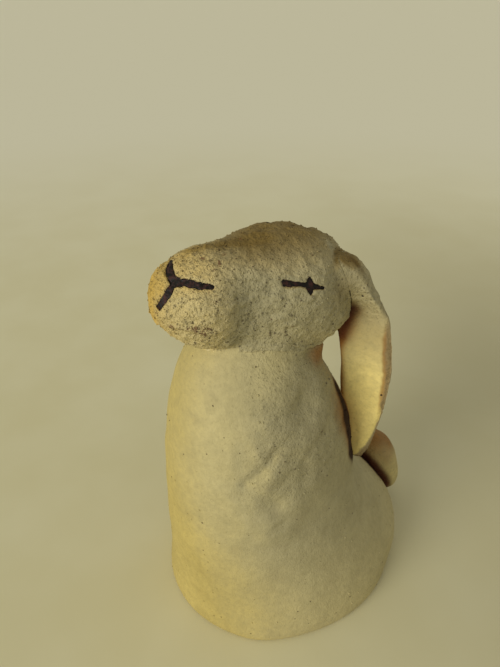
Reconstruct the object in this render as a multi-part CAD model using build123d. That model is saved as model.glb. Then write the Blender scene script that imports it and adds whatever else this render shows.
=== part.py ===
from build123d import *
import os
from math import cos, radians, sin

# Millimetres. +Z is up, the nose points to -Y, the rabbit's own left is +X, the foot stands on Z = 0.

# Body: ovals stacked from the foot to the neck, each with its reach to front and back and its full width
FOOT_FRONT = 52.0
FOOT_BACK = 50.0
FOOT_WIDTH = 87.0
FOOT_ROUND = 2.5
HAUNCH_HEIGHT = 14.0
HAUNCH_FRONT = 50.5
HAUNCH_BACK = 50.0
HAUNCH_WIDTH = 85.5
RUMP_RISE = 28.0
RUMP_FRONT = 50.5
RUMP_BACK = 29.5
RUMP_WIDTH = 70.5
BREAST_RISE = 38.0
BREAST_FRONT = 48.5
BREAST_BACK = 16.5
BREAST_WIDTH = 62.0
SHOULDER_RISE = 24.0
SHOULDER_FRONT = 43.0
SHOULDER_BACK = 7.0
SHOULDER_WIDTH = 48.5
NECK_RISE = 19.0
NECK_FRONT = 30.0
NECK_BACK = -5.0
NECK_WIDTH = 25.0
BODY_WALL = 7.0

# Foot plug and the kiln vents
PLUG_THICKNESS = 6.0
VENT_DIAMETER = 8.0
VENT_SETBACK = 14.0

# Head: an egg turned about its own axis; setbacks run from the nose tip, insets from the back end
HEAD_LENGTH = 74.5
HEAD_FLAT = 1.5
MUZZLE_SETBACK = 10.0
MUZZLE_RADIUS = 13.3
BRIDGE_SETBACK = 22.0
BRIDGE_RADIUS = 16.1
CHEEK_INSET = 28.5
CHEEK_RADIUS = 20.4
NAPE_INSET = 11.5
NAPE_RADIUS = 14.2
HEAD_WALL = 6.5
HEAD_PITCH = 9.5
HEAD_TILT = 6.0
SEAT_INSET = 41.1
SEAT_DEPTH = 11.0

# Coil pressed into the seam under the head
COIL_THICKNESS = 2.6

# Ears: cupped leaves hanging from the back of the head onto the body
EAR_ROOT_INSET = 17.5
EAR_ROOT_ANGLE = 34.0
EAR_ROOT_DEPTH = 3.0
EAR_ROOT_WIDTH = 6.0
EAR_ROOT_THICKNESS = 6.0
EAR_SPREAD = 5.0
EAR_TRAIL = 4.6
EAR_DROP = 15.0
EAR_TOP_WIDTH = 12.5
EAR_WIDTH = 16.2
EAR_LOWER_WIDTH = 15.4
EAR_TAPER_WIDTH = 9.5
EAR_TIP_WIDTH = 2.5
EAR_THICKNESS = 4.4
EAR_TIP_THICKNESS = 3.0
EAR_RIM = 2.2
EAR_CUP = 2.6
EAR_TURN = 35.0
EAR_HANG = 34.0
EAR_STANDOFF = 2.0
EAR_TIP_HEIGHT = 60.0
EAR_TIP_ANGLE = 37.0
EAR_TIP_PRESS = 1.0

# Tail: an upright oval pressed onto the back
TAIL_WIDTH = 22.0
TAIL_DEPTH = 18.0
TAIL_LENGTH = 39.0
TAIL_LEAN = 20.0
TAIL_HEIGHT = 24.0
TAIL_STANDOFF = 8.5

# Inlaid lines: widths, depth of the lash cut, and how far the inlay stays under the clay
NOSE_CUT_WIDTH = 2.3
MOUTH_CUT_WIDTH = 1.4
EYE_CUT_WIDTH = 1.7
LASH_LENGTH = 6.0
LASH_WIDTH = 3.4
LASH_DEPTH = 1.2
INLAY_SINK = 0.35

# Marks on the head: setback or inset along it, degrees from its top towards the left
NOSE_FORK_SETBACK = 4.3
NOSE_FORK_ANGLE = 17.0
NOSE_STEM_SETBACK = 0.2
NOSE_STEM_ANGLE = 98.0
NOSE_NEAR_SETBACK = 12.1
NOSE_NEAR_ANGLE = 49.0
NOSE_FAR_SETBACK = 7.3
NOSE_FAR_ANGLE = -31.0
MOUTH_FRONT_SETBACK = 2.0
MOUTH_BEND_SETBACK = 5.4
MOUTH_BEND_ANGLE = 107.0
MOUTH_CORNER_SETBACK = 12.8
MOUTH_CORNER_ANGLE = 105.0
EYE_FRONT_INSET = 42.7
EYE_FRONT_ANGLE = 53.7
EYE_BACK_INSET = 28.8
EYE_BACK_ANGLE = 62.9
LASH_INSET = 34.1
LASH_ANGLE = 59.8

haunch_z = HAUNCH_HEIGHT
rump_z = haunch_z + RUMP_RISE
breast_z = rump_z + BREAST_RISE
shoulder_z = breast_z + SHOULDER_RISE
neck_z = shoulder_z + NECK_RISE
BODY_OVALS = (
    (0.0, FOOT_FRONT, FOOT_BACK, FOOT_WIDTH),
    (haunch_z, HAUNCH_FRONT, HAUNCH_BACK, HAUNCH_WIDTH),
    (rump_z, RUMP_FRONT, RUMP_BACK, RUMP_WIDTH),
    (breast_z, BREAST_FRONT, BREAST_BACK, BREAST_WIDTH),
    (shoulder_z, SHOULDER_FRONT, SHOULDER_BACK, SHOULDER_WIDTH),
    (neck_z, NECK_FRONT, NECK_BACK, NECK_WIDTH),
)


def body_form(inset):
    """The stacked ovals as one skin, drawn in by inset all round."""
    faces = []
    for height, front, back, width in BODY_OVALS:
        oval = Ellipse(width / 2 - inset, (front + back) / 2 - inset)
        faces.append(Pos(0, (back - front) / 2, height) * oval)
    return loft(faces)


def last_hit(form, start, direction):
    """Where a line from start leaves the form for the last time."""
    hits = form.shell().find_intersection_points(Axis(start, direction))
    return hits[-1][0]


def head_profile(inset):
    """Half outline of the egg beside its axis, drawn in by inset."""
    points = (
        (inset, HEAD_FLAT),
        (MUZZLE_SETBACK + inset / 2, MUZZLE_RADIUS - inset),
        (BRIDGE_SETBACK, BRIDGE_RADIUS - inset),
        (HEAD_LENGTH - CHEEK_INSET, CHEEK_RADIUS - inset),
        (HEAD_LENGTH - NAPE_INSET - inset / 2, NAPE_RADIUS - inset),
        (HEAD_LENGTH - inset, HEAD_FLAT),
    )
    outline = Spline(*points, tangents=((0, 1), (0, -1)), tangent_scalars=(1, 1))
    axis_front = (inset, 0)
    axis_back = (HEAD_LENGTH - inset, 0)
    return make_face([outline, Polyline(points[-1], axis_back, axis_front, points[0])])


# Head axes: back along the egg, up and left turned by pitch and tilt
pitch = radians(HEAD_PITCH)
tilt = radians(HEAD_TILT)
level_up = Vector(0, sin(pitch), cos(pitch))
head_back = Vector(0, cos(pitch), -sin(pitch))
head_left = Vector(cos(tilt), 0, 0) - level_up * sin(tilt)
head_up = Vector(sin(tilt), 0, 0) + level_up * cos(tilt)

egg = revolve(head_profile(0), Axis.X)
seat_setback = HEAD_LENGTH - SEAT_INSET
seat_radius = last_hit(egg, (seat_setback, 0, 0), (0, 1, 0)).Y
seat = Vector(0, (NECK_BACK - NECK_FRONT) / 2, neck_z - SEAT_DEPTH + seat_radius)
nose_tip = seat - head_back * seat_setback
head_plane = Plane(nose_tip, x_dir=head_back, z_dir=head_left)


def head_form(inset):
    """The egg in its place on the neck."""
    return head_plane * revolve(head_profile(inset), Axis.X)


def around_head(angle):
    """Direction out of the head's axis, in degrees from the top towards the left."""
    turn = radians(angle)
    return head_up * cos(turn) + head_left * sin(turn)


def on_head(setback, angle):
    """Point on the egg at a distance behind the nose tip."""
    return last_hit(head_skin, nose_tip + head_back * setback, around_head(angle))


def midway(start, end):
    """Point on the egg over the middle of the line between two others."""
    middle = (start + end) / 2
    foot = nose_tip + head_back * (middle - nose_tip).dot(head_back)
    return last_hit(head_skin, foot, middle - foot)


body_skin = body_form(0)
body_skin = fillet(body_skin.edges().sort_by(Axis.Z)[0], FOOT_ROUND)
body_hollow = body_form(BODY_WALL)
head_skin = head_form(0)
head_hollow = head_form(HEAD_WALL)
inlay_level = head_form(INLAY_SINK)


def foot_plug():
    """Disc closing the foot level with the wall's edge, with its vent."""
    slab = Pos(0, 0, PLUG_THICKNESS / 2) * Box(2 * FOOT_WIDTH, 4 * FOOT_BACK, PLUG_THICKNESS)
    vent = Pos(0, VENT_SETBACK, 0) * Cylinder(VENT_DIAMETER / 2, 3 * PLUG_THICKNESS)
    return (body_hollow & slab) - vent


def coil():
    """Clay pressed all along the seam where the head lies on the neck."""
    band = head_form(-COIL_THICKNESS) & body_form(-COIL_THICKNESS)
    return band - head_skin - body_skin


def ear_section(spine, share, width, thickness, cup, side):
    """Crescent across the ear, hollow side to the front."""
    turn = radians(EAR_TURN)
    across = Vector(cos(turn), side * sin(turn), 0)
    plane = Plane(spine @ share, x_dir=across, z_dir=spine % share)
    half = width / 2
    rim = EAR_RIM / 2
    crest = thickness / 2
    edges = [
        ThreePointArc((-half, rim), (0, crest - cup), (half, rim)),
        ThreePointArc((half, rim), (half + rim, 0), (half, -rim)),
        ThreePointArc((half, -rim), (0, -crest - cup), (-half, -rim)),
        ThreePointArc((-half, -rim), (-half - rim, 0), (-half, rim)),
    ]
    return plane * make_face(edges)


def ear(side):
    """Leaf from the back of the head to its resting place on the body; side is +1 left, -1 right."""
    root = on_head(HEAD_LENGTH - EAR_ROOT_INSET, side * EAR_ROOT_ANGLE)
    start = root - around_head(side * EAR_ROOT_ANGLE) * EAR_ROOT_DEPTH
    shoulder = root + Vector(side * EAR_SPREAD, EAR_TRAIL, -EAR_DROP)
    turn = radians(EAR_TIP_ANGLE)
    out = Vector(side * sin(turn), cos(turn), 0)
    axis_y = (RUMP_BACK - RUMP_FRONT) / 2
    tip = last_hit(body_skin, (0, axis_y, EAR_TIP_HEIGHT), out) - out * EAR_TIP_PRESS
    hang = tip + out * EAR_STANDOFF + Vector(0, 0, EAR_HANG)
    spine = Spline(start, shoulder, hang, tip)
    stations = (
        (0.0, EAR_ROOT_WIDTH, EAR_ROOT_THICKNESS, EAR_CUP / 2),
        (0.15, EAR_TOP_WIDTH, (EAR_ROOT_THICKNESS + EAR_THICKNESS) / 2, EAR_CUP),
        (0.36, EAR_WIDTH, EAR_THICKNESS, EAR_CUP),
        (0.58, EAR_LOWER_WIDTH, EAR_THICKNESS, EAR_CUP),
        (0.8, EAR_TAPER_WIDTH, (EAR_THICKNESS + EAR_TIP_THICKNESS) / 2, EAR_CUP / 2),
        (1.0, EAR_TIP_WIDTH, EAR_TIP_THICKNESS, EAR_CUP / 3),
    )
    leaf = loft([ear_section(spine, *station, side) for station in stations])
    return leaf - head_skin - body_skin


def tail_form():
    """Upright oval leaning along the slope of the back."""
    back = last_hit(body_skin, (0, 0, TAIL_HEIGHT), (0, 1, 0))
    slices = []
    for turn in (-78, -50, -25, 0, 25, 50, 78):
        swell = cos(radians(turn)) / 2
        oval = Ellipse(TAIL_WIDTH * swell, TAIL_DEPTH * swell)
        slices.append(Pos(0, 0, TAIL_LENGTH / 2 * sin(radians(turn))) * oval)
    place = Pos(back + Vector(0, TAIL_STANDOFF, 0)) * Rot(TAIL_LEAN, 0, 0)
    return place * loft(slices) - body_skin


def stroke(start, through, end, width):
    """Round cutter drawn along the clay through three points."""
    path = ThreePointArc(start, through, end)
    return sweep(Plane(path @ 0, z_dir=path % 0) * Circle(width / 2), path=path)


def nose_cut():
    """Y on the muzzle: a stem and two arms out of one fork."""
    fork = on_head(NOSE_FORK_SETBACK, NOSE_FORK_ANGLE)
    stem = on_head(NOSE_STEM_SETBACK, NOSE_STEM_ANGLE)
    near = on_head(NOSE_NEAR_SETBACK, NOSE_NEAR_ANGLE)
    far = on_head(NOSE_FAR_SETBACK, NOSE_FAR_ANGLE)
    arms = [stroke(fork, midway(fork, end), end, NOSE_CUT_WIDTH) for end in (stem, near, far)]
    return arms[0] + arms[1] + arms[2]


def mouth_side(side):
    """Thin line from under the nose to one corner of the mouth."""
    front = on_head(MOUTH_FRONT_SETBACK, 180)
    bend = on_head(MOUTH_BEND_SETBACK, side * MOUTH_BEND_ANGLE)
    corner = on_head(MOUTH_CORNER_SETBACK, side * MOUTH_CORNER_ANGLE)
    return stroke(front, bend, corner, MOUTH_CUT_WIDTH)


def eye_cut(side):
    """Closed eye: a slit with one diamond lash across it."""
    front = on_head(HEAD_LENGTH - EYE_FRONT_INSET, side * EYE_FRONT_ANGLE)
    back = on_head(HEAD_LENGTH - EYE_BACK_INSET, side * EYE_BACK_ANGLE)
    middle = on_head(HEAD_LENGTH - LASH_INSET, side * LASH_ANGLE)
    plane = Plane(middle, x_dir=head_back, z_dir=around_head(side * LASH_ANGLE))
    corners = ((0, LASH_LENGTH / 2), (LASH_WIDTH / 2, 0), (0, -LASH_LENGTH / 2), (-LASH_WIDTH / 2, 0))
    lash = extrude(plane * make_face(Polyline(*corners, close=True)), LASH_DEPTH, both=True)
    return stroke(front, midway(front, back), back, EYE_CUT_WIDTH) + lash


cuts = {
    "nose_inlay": nose_cut(),
    "mouth_inlay": mouth_side(1) + mouth_side(-1),
    "eye_inlay_left": eye_cut(1),
    "eye_inlay_right": eye_cut(-1),
}
neck_vent = Pos(seat - Vector(0, 0, seat_radius)) * Cylinder(VENT_DIAMETER / 2, seat_radius)
head = head_skin - head_hollow - neck_vent
for cut in cuts.values():
    head = head - cut

pieces = {
    "body_wall": body_skin - head_skin - body_hollow,
    "base_plug": foot_plug(),
    "head": head,
    "neck_coil": coil(),
    "ear_left": ear(1),
    "ear_right": ear(-1),
    "tail": tail_form(),
}
for name, cut in cuts.items():
    pieces[name] = cut & inlay_level

os.makedirs("parts", exist_ok=True)
for name, piece in pieces.items():
    export_step(piece, f"parts/{name}.step")
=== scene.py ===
import math

import bmesh
import bpy
import numpy as np
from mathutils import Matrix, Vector
from mathutils.bvhtree import BVHTree


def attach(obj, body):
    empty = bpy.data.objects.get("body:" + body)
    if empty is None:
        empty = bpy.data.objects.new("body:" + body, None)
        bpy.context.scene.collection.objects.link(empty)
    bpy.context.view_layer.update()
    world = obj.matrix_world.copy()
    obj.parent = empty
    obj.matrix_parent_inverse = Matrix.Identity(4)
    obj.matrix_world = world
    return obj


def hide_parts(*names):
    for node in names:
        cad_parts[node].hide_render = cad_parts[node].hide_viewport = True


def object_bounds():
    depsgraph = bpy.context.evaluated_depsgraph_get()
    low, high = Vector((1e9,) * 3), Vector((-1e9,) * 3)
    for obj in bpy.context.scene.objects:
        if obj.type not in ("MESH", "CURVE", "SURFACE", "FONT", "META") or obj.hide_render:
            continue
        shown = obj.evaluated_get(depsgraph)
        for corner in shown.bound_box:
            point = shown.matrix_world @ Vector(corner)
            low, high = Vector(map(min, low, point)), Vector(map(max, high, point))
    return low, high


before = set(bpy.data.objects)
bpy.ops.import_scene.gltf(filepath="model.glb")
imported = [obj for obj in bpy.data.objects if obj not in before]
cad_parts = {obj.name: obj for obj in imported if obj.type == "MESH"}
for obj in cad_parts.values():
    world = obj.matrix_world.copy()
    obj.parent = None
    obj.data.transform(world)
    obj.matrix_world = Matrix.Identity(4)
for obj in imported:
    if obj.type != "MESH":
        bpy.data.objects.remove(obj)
cad_box = [list(corner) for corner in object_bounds()]

MM = 0.001
SCENE = bpy.context.scene
SCENE.view_settings.view_transform = "Standard"


def linear(red, green, blue):
    """Linear colour from 0-255 screen values."""
    values = []
    for channel in (red, green, blue):
        share = channel / 255
        values.append(share / 12.92 if share <= 0.04045 else ((share + 0.055) / 1.055) ** 2.4)
    return (*values, 1.0)


# Working the clay: every function here takes and gives millimetres

def lattice_noise(points, cell, seed):
    """Smooth noise from -1 to 1 with features about one cell wide."""
    size = 48
    table = np.random.default_rng(seed).random((size, size, size)) * 2 - 1
    scaled = points / cell
    corner = np.floor(scaled).astype(int)
    part = scaled - corner
    fade = part * part * (3 - 2 * part)
    total = np.zeros(len(points))
    for step in np.ndindex(2, 2, 2):
        share = np.prod(np.where(step, fade, 1 - fade), axis=1)
        index = (corner + step) % size
        total += share * table[index[:, 0], index[:, 1], index[:, 2]]
    return total


def lumpy(points, *layers):
    """Sum of noise layers, each an amount, a cell and a seed."""
    return sum(amount * lattice_noise(points, cell, seed) for amount, cell, seed in layers)


def ease(values, low, high):
    """Smooth step from 0 at low to 1 at high."""
    share = np.clip((values - low) / (high - low), 0, 1)
    return share * share * (3 - 2 * share)


def points_of(obj):
    """Vertex places as an array."""
    flat = np.empty(len(obj.data.vertices) * 3, np.float32)
    obj.data.vertices.foreach_get("co", flat)
    return flat.reshape(-1, 3).astype(float) / MM


def normals_of(obj):
    """Vertex normals as an array."""
    flat = np.empty(len(obj.data.vertices) * 3, np.float32)
    obj.data.vertex_normals.foreach_get("vector", flat)
    return flat.reshape(-1, 3).astype(float)


def place_points(obj, points):
    """Moves the vertices, never out of the CAD model's box."""
    inside = np.clip(points * MM, cad_box[0], cad_box[1])
    obj.data.vertices.foreach_set("co", inside.astype(np.float32).ravel())
    obj.data.update()


def bake(obj, name):
    """Turns a piece and its modifiers into a plain mesh."""
    baked = bpy.data.meshes.new_from_object(obj.evaluated_get(bpy.context.evaluated_depsgraph_get()))
    obj.modifiers.clear()
    obj.data = baked
    baked.name = name


def clay_copy(name, node, mesh_size, rubs):
    """Evenly meshed copy of a CAD node, rubbed smooth, ready to be worked by hand."""
    work = bmesh.new()
    work.from_mesh(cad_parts[node].data)
    bmesh.ops.remove_doubles(work, verts=work.verts, dist=0.002 * MM)
    mesh = bpy.data.meshes.new(name)
    work.to_mesh(mesh)
    work.free()
    obj = bpy.data.objects.new(name, mesh)
    SCENE.collection.objects.link(obj)
    even = obj.modifiers.new("even", "REMESH")
    even.mode = "VOXEL"
    even.voxel_size = mesh_size * MM
    even.use_smooth_shade = True
    thumbed = obj.modifiers.new("thumbed", "SMOOTH")
    thumbed.factor = 0.5
    thumbed.iterations = rubs
    bake(obj, name)
    return obj


def skin_of(obj):
    """Search tree of a piece's surface, with the box that holds it."""
    points = points_of(obj)
    tree = BVHTree.FromObject(obj, bpy.context.evaluated_depsgraph_get())
    return tree, points.min(axis=0), points.max(axis=0)


def gap_and_slope(skin, points, reach):
    """Distance from each point to a skin, negative inside it, and the way out; beyond reach it is reach."""
    tree, low, high = skin
    gaps = np.full(len(points), float(reach))
    slopes = np.zeros_like(points)
    near = np.all((points > low - reach) & (points < high + reach), axis=1)
    for index in np.flatnonzero(near):
        place = Vector(points[index] * MM)
        found, normal, _, distance = tree.find_nearest(place, reach * MM)
        if found is not None:
            gaps[index] = math.copysign(distance / MM, (place - found).dot(normal))
            slopes[index] = normal
    return gaps, slopes


def gap_to(skin, points, reach):
    """Distance from each point to a skin, negative inside it; beyond reach it is reach."""
    return gap_and_slope(skin, points, reach)[0]


def near_to(names, points, reach):
    """Distance from each point to the nearest of some pieces' skins, whichever side it is on."""
    return np.min([np.abs(gap_to(SKINS[name], points, reach)) for name in names], axis=0)


def soften(obj, turns, share):
    """Rubs a piece smooth; share says how much at each vertex."""
    edges = np.empty(len(obj.data.edges) * 2, np.int32)
    obj.data.edges.foreach_get("vertices", edges)
    first, second = edges.reshape(-1, 2).T
    points = points_of(obj)
    count = np.bincount(edges, minlength=len(points))[:, None]
    for _ in range(turns):
        total = np.zeros_like(points)
        np.add.at(total, first, points[second])
        np.add.at(total, second, points[first])
        points += share[:, None] * 0.5 * (total / count - points)
    place_points(obj, points)


def raise_skin(obj, lift):
    """Moves a piece's skin outwards by a lift at each vertex."""
    place_points(obj, points_of(obj) + normals_of(obj) * lift[:, None])


def fillet(first, second, blend):
    """Clay that fills the corner between two skins, from the distances to both."""
    return blend / 4 * np.clip(1 - np.abs(first - second) / blend, 0, 1) ** 2


def run_into(obj, skin, blend):
    """Raises the clay along a joint so that it runs into its neighbour; blend is its reach there."""
    points = points_of(obj)
    normals = normals_of(obj)
    rise = np.zeros(len(points))
    for _ in range(5):
        gap = gap_to(skin, points + normals * rise[:, None], 1.6 * blend.max())
        rise = fillet(gap, rise, blend)
    raise_skin(obj, rise)


def pressed(points, spots, mirrored=0.0):
    """Sum of soft round spots (x, y, z, radius, amount), with a share of the same on the other side."""
    total = np.zeros(len(points))
    for x, y, z, radius, amount in spots:
        away = np.linalg.norm(points - (x, y, z), axis=1) / radius
        total += amount * np.exp(-away ** 2)
    if mirrored:
        total += mirrored * pressed(points * (-1, 1, 1), spots)
    return total


def thumb(obj, spots, mirrored=0.0):
    """Presses soft spots into a piece or out of it, and a share of that on the other side."""
    raise_skin(obj, pressed(points_of(obj), spots, mirrored))


def to_near_side(points):
    """Points with those of the far side set over to the near side."""
    return np.column_stack((np.abs(points[:, 0]), points[:, 1:]))


def along_path(points, path):
    """Share of the way along a path of points and the offset from it, for each point."""
    best = np.full(len(points), np.inf)
    share = np.zeros(len(points))
    offset = np.zeros_like(points)
    for index, (start, end) in enumerate(zip(path, path[1:])):
        start = np.asarray(start, float)
        run = np.asarray(end, float) - start
        part = np.clip((points - start) @ run / (run @ run), 0, 1)
        away = points - start - part[:, None] * run
        distance = np.linalg.norm(away, axis=1)
        closer = distance < best
        best[closer] = distance[closer]
        share[closer] = (index + part[closer]) / (len(path) - 1)
        offset[closer] = away[closer]
    return share, offset


def furrow(points, path, width):
    """Share of a groove along a path of points, 1 on the path."""
    _, offset = along_path(points, path)
    return np.exp(-(np.linalg.norm(offset, axis=1) / width) ** 2)


def paint(obj, masks):
    """Stores masks from 0 to 1 on the vertices for the material to read."""
    for name, values in masks.items():
        layer = obj.data.attributes.new(name, "FLOAT", "POINT")
        layer.data.foreach_set("value", np.clip(values, 0, 1).astype(np.float32))


# Nodes: what makes one value or colour gives its output socket

# Sockets of a Mix node that mixes colours
MIX_FIRST = 6
MIX_SECOND = 7
MIX_RESULT = 2


def new_group(name, inputs, outputs, tree_kind="ShaderNodeTree"):
    """Empty node group with named sockets, and its input and output nodes."""
    group = bpy.data.node_groups.new(name, tree_kind)
    for label, kind, *default in inputs:
        socket = group.interface.new_socket(name=label, in_out="INPUT", socket_type="NodeSocket" + kind)
        if default:
            socket.default_value = default[0]
    for label, kind in outputs:
        group.interface.new_socket(name=label, in_out="OUTPUT", socket_type="NodeSocket" + kind)
    return group, group.nodes.new("NodeGroupInput"), group.nodes.new("NodeGroupOutput")


def use(tree, target, socket, source):
    """Feeds a node's input from a socket, or sets it to a constant."""
    if isinstance(source, bpy.types.NodeSocket):
        tree.links.new(source, target.inputs[socket])
    else:
        target.inputs[socket].default_value = source


def add(tree, kind, inputs=None, **settings):
    """New node with its settings and what its inputs use."""
    node = tree.nodes.new(kind)
    for key, value in settings.items():
        setattr(node, key, value)
    for socket, source in (inputs or {}).items():
        use(tree, node, socket, source)
    return node


def calc(tree, operation, first, second=0.0, clamp=False):
    """Math node."""
    inputs = {0: first, 1: second}
    return add(tree, "ShaderNodeMath", inputs, operation=operation, use_clamp=clamp).outputs[0]


def plus(tree, value, extra, share):
    """A value with a share of another added to it."""
    return calc(tree, "ADD", value, calc(tree, "MULTIPLY", extra, share))


def blend_colour(tree, share, first, second, mode="MIX"):
    """Mix node for colours."""
    inputs = {0: share, MIX_FIRST: first, MIX_SECOND: second}
    return add(tree, "ShaderNodeMix", inputs, data_type="RGBA", blend_type=mode).outputs[MIX_RESULT]


def tint(tree, colour, over, mask, strength):
    """A colour with another over it where a mask says, up to a strength."""
    return blend_colour(tree, calc(tree, "MULTIPLY", mask, strength), colour, over)


def ramp(tree, value, low, high, start=0.0, end=1.0):
    """Smooth step of a value between two limits."""
    inputs = dict(enumerate((value, low, high, start, end)))
    return add(tree, "ShaderNodeMapRange", inputs, interpolation_type="SMOOTHSTEP").outputs[0]


def noise(tree, place, cell, detail=3.0, roughness=0.55):
    """Noise texture whose features are about one cell wide, in millimetres."""
    inputs = {"Vector": place, "Scale": 1 / (cell * MM), "Detail": detail, "Roughness": roughness}
    return add(tree, "ShaderNodeTexNoise", inputs).outputs[0]


def painted(tree, name):
    """A mask that paint() stored on the piece."""
    return add(tree, "ShaderNodeAttribute", attribute_name=name).outputs["Fac"]


# Least size of a speck beside its random one, and the share of it that is fully dark
LEAST_SPECK = 0.35
SPECK_CORE = 0.55


def specks_group():
    """Scattered round specks of about one size, as a mask."""
    group, given, made = new_group(
        "Grog specks",
        [("Place", "Vector"), ("Spacing", "Float", 1.5), ("Share", "Float", 0.3), ("Size", "Float", 0.3)],
        [("Mask", "Float")])
    scale = calc(group, "DIVIDE", 1 / MM, given.outputs["Spacing"])
    cells = add(group, "ShaderNodeTexVoronoi", {"Vector": given.outputs["Place"], "Scale": scale})
    chance = add(group, "ShaderNodeSeparateColor", {"Color": cells.outputs["Color"]})
    chosen = calc(group, "LESS_THAN", chance.outputs["Red"], given.outputs["Share"])
    size = calc(group, "ADD", chance.outputs["Green"], LEAST_SPECK)
    size = calc(group, "MULTIPLY", given.outputs["Size"], size)
    core = calc(group, "MULTIPLY", size, SPECK_CORE)
    round_mask = ramp(group, cells.outputs["Distance"], core, size, 1.0, 0.0)
    use(group, made, "Mask", calc(group, "MULTIPLY", chosen, round_mask))
    return group


# Kiln colours in the order in which they lie on the raw clay, with how ragged their borders are; the last of
# them is mostly painted shade in crevices, recesses and contacts, ash and toast carry painted shade too where
# the masks say, and cream carries painted yellow light
KILN_BORDERS = {"Cream": 0.5, "Ash": 0.5, "Toast": 0.4, "Stain": 0.6}
KILN_COLOURS = ("Clay", *KILN_BORDERS)


def flash_group():
    """Kiln colour: raw clay that goes creamy, grey, toasted or dark where the masks say, these also carrying
    painted light and shade, all of it mottled.
    """
    group, given, made = new_group(
        "Kiln flash",
        [("Place", "Vector")] + [(name, "Color") for name in KILN_COLOURS],
        [("Colour", "Color")])
    broad = noise(group, given.outputs["Place"], 14.0, 4.0)
    fine = noise(group, given.outputs["Place"], 2.2, 5.0, 0.65)
    rag = plus(group, calc(group, "MULTIPLY", broad, 0.5), fine, 0.5)
    rag = calc(group, "SUBTRACT", rag, 0.5)
    colour = given.outputs["Clay"]
    for name, ragged in KILN_BORDERS.items():
        mask = painted(group, name.lower())
        fading = calc(group, "MULTIPLY", mask, 3.0, clamp=True)
        shaken = plus(group, mask, fading, calc(group, "MULTIPLY", rag, ragged))
        colour = blend_colour(group, ramp(group, shaken, 0.0, 1.0), colour, given.outputs[name])
    patch = ramp(group, broad, 0.3, 0.7, 0.93, 1.06)
    mottle = ramp(group, fine, 0.25, 0.75, 0.91, 1.09)
    level = calc(group, "MULTIPLY", patch, mottle)
    grey = add(group, "ShaderNodeCombineColor", dict.fromkeys(range(3), level))
    use(group, made, "Colour", blend_colour(group, 1.0, colour, grey.outputs[0], "MULTIPLY"))
    return group


def relief_group():
    """Surface of the fired clay: sand, grains and pits where it is gritty, soft lumps and drag lines."""
    group, given, made = new_group(
        "Clay relief",
        [("Place", "Vector"), ("Grit", "Float", 0.3), ("Specks", "Float", 0.0)],
        [("Normal", "Vector"), ("Pits", "Float"), ("Sand", "Float")])
    place = given.outputs["Place"]
    grit = given.outputs["Grit"]
    sand = noise(group, place, 0.5, 3.0, 0.6)
    cells = add(group, "ShaderNodeTexVoronoi", {"Vector": place, "Scale": 1 / (1.1 * MM), "Smoothness": 0.5},
                feature="SMOOTH_F1")
    grains = calc(group, "SUBTRACT", 1.0, cells.outputs["Distance"])
    lumps = noise(group, place, 2.8, 3.0)
    pits = ramp(group, noise(group, place, 1.1, 2.0, 0.6), 0.30, 0.41, 1.0, 0.0)
    pits = calc(group, "MULTIPLY", pits, grit)
    drag = add(group, "ShaderNodeMapping", {"Vector": place, "Scale": (1.0, 1.0, 0.12)})
    lines = noise(group, drag.outputs[0], 0.8, 2.0)
    height = calc(group, "MULTIPLY", sand, plus(group, 0.10, grit, 0.8))
    for layer, share in ((grains, calc(group, "MULTIPLY", grit, 0.7)), (lumps, 0.30), (lines, 0.06),
                         (pits, -0.45), (given.outputs["Specks"], -0.15)):
        height = plus(group, height, layer, share)
    bump = add(group, "ShaderNodeBump", {"Strength": 1.0, "Distance": 1.0 * MM, "Height": height})
    use(group, made, "Normal", bump.outputs[0])
    use(group, made, "Pits", pits)
    use(group, made, "Sand", calc(group, "MULTIPLY", ramp(group, sand, 0.32, 0.52, 1.0, 0.0), grit))
    return group


SPECKS = specks_group()
FLASH = flash_group()
RELIEF = relief_group()


# Materials

CLAY = linear(192, 179, 128)
ASH = linear(166, 157, 119)
INK_DARK = linear(30, 23, 21)
INK_RED = linear(92, 50, 30)
RUST = linear(92, 44, 25)
IRON = linear(68, 48, 30)
FIRED_SPECULAR = 0.25


def place_group(tree, group, **sockets):
    """Puts a shader group into a tree with its inputs."""
    return add(tree, "ShaderNodeGroup", sockets, node_tree=group)


def blank_material(name, specular):
    """Material with only its Principled shader; gives it, its tree, the shader and Object coordinates."""
    material = bpy.data.materials.new(name)
    material.use_nodes = True
    tree = material.node_tree
    shader = tree.nodes["Principled BSDF"]
    shader.inputs["Specular IOR Level"].default_value = specular
    where = add(tree, "ShaderNodeTexCoord").outputs["Object"]
    return material, tree, shader, where


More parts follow.
